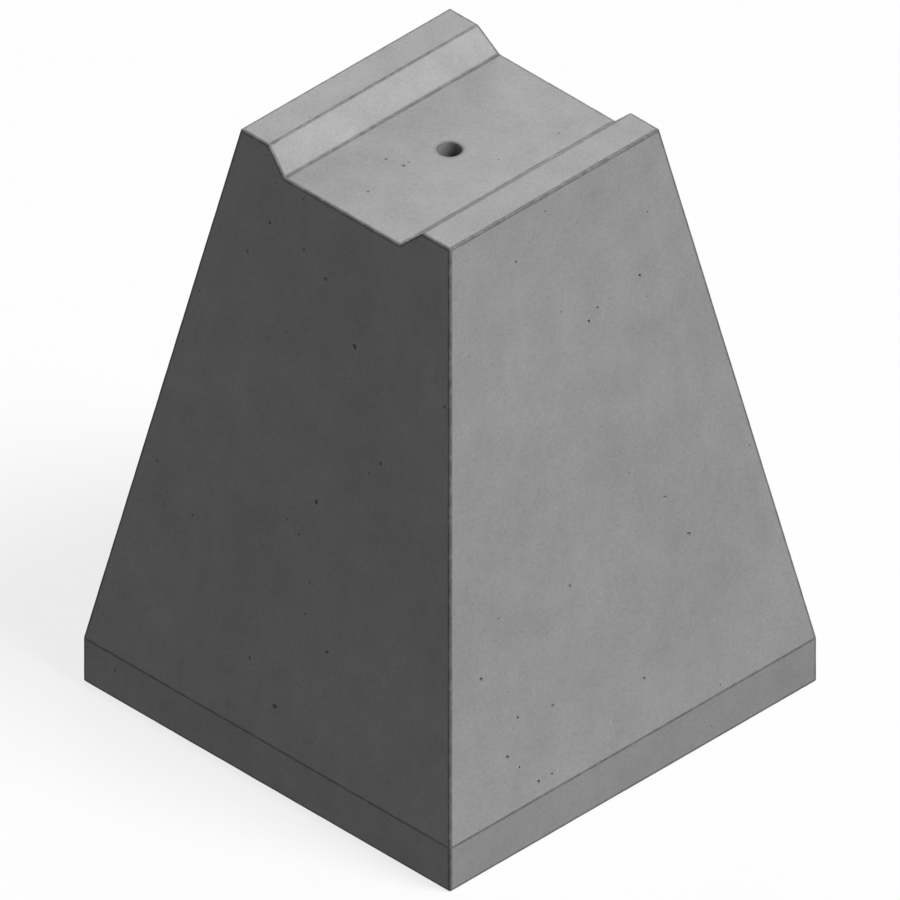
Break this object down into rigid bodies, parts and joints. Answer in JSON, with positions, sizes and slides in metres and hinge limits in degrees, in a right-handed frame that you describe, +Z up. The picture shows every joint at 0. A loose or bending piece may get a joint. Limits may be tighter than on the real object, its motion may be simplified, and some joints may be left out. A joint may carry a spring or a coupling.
{
  "type": "column base block",
  "caption": "Square tapering concrete base block with an upright band at its foot, a shallow flared channel across its head for a post or beam, and a blind dowel hole.",
  "frame": {"origin": "middle of the square underside", "axes": "+Z up, out of the head; +Y along the channel; +X across the channel, from one ridge to the other"},
  "size_m": [0.35, 0.35, 0.456],
  "materials": {
    "cast_concrete": "matte"
  },
  "bodies": {
    "root": {"base_block": "cast_concrete"}
  },
  "joints": []
}
